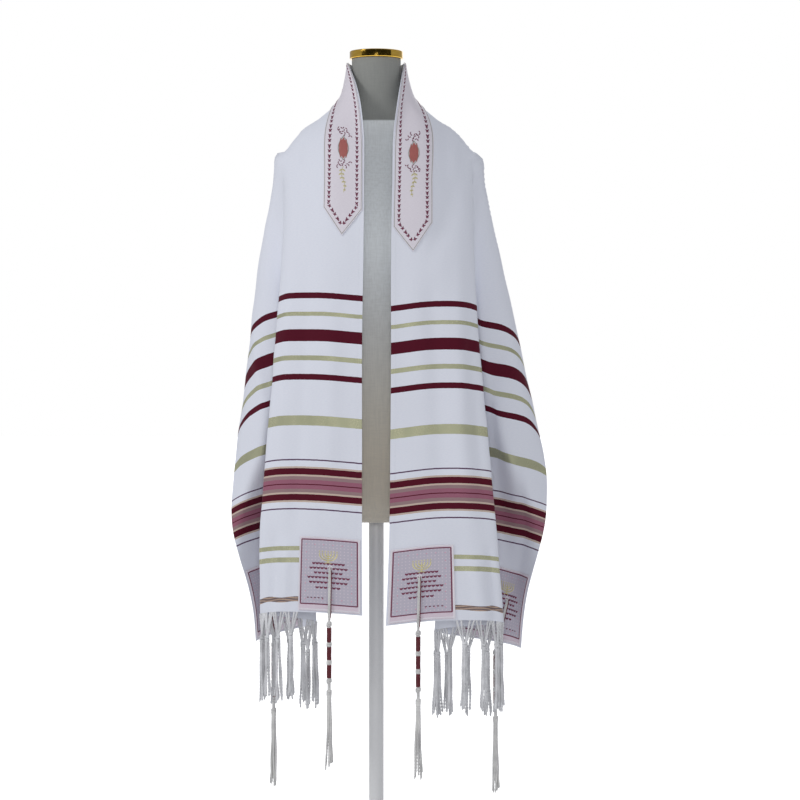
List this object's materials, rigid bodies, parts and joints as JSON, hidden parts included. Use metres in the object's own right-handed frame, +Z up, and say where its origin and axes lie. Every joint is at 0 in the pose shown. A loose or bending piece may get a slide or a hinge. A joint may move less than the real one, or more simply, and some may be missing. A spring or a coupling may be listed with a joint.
{
  "type": "tallit prayer shawl on a limbless dress form",
  "caption": "Striped, fringed tallit prayer shawl draped over the shoulders of a limbless dress form on a plain round-based stand.",
  "frame": {"origin": "centre of the stand base's underside, on the floor", "axes": "+Z up the stand and neck, -Y the wearer's front, +X the wearer's left, which is to the right seen from the front"},
  "size_m": [0.5243, 0.32, 1.45],
  "materials": {
    "white_cloth": "soft white woven cloth with maroon, gold and violet woven stripes",
    "band_cloth": "white satin with a plum embroidered border",
    "patch_cloth": "pale satin with plum and gold embroidery",
    "fringe_yarn": "white knotted yarn",
    "corner_string": "white strings with maroon windings",
    "form_linen": "natural linen cover",
    "cap_brass": "polished",
    "stand_paint": "pale satin paint"
  },
  "bodies": {
    "root": {"left_end": "white_cloth", "back_panel": "white_cloth", "right_end": "white_cloth", "neckband": "band_cloth", "patch_left_front": "patch_cloth", "patch_left_rear": "patch_cloth", "patch_right_front": "patch_cloth", "patch_right_rear": "patch_cloth", "fringe_left": "fringe_yarn", "fringe_right": "fringe_yarn", "tassel_left_front": "corner_string", "tassel_left_rear": "corner_string", "tassel_right_front": "corner_string", "tassel_right_rear": "corner_string", "form_body": "form_linen", "neck_cap": "cap_brass", "stand_pole": "stand_paint", "stand_base": "stand_paint"}
  },
  "joints": []
}
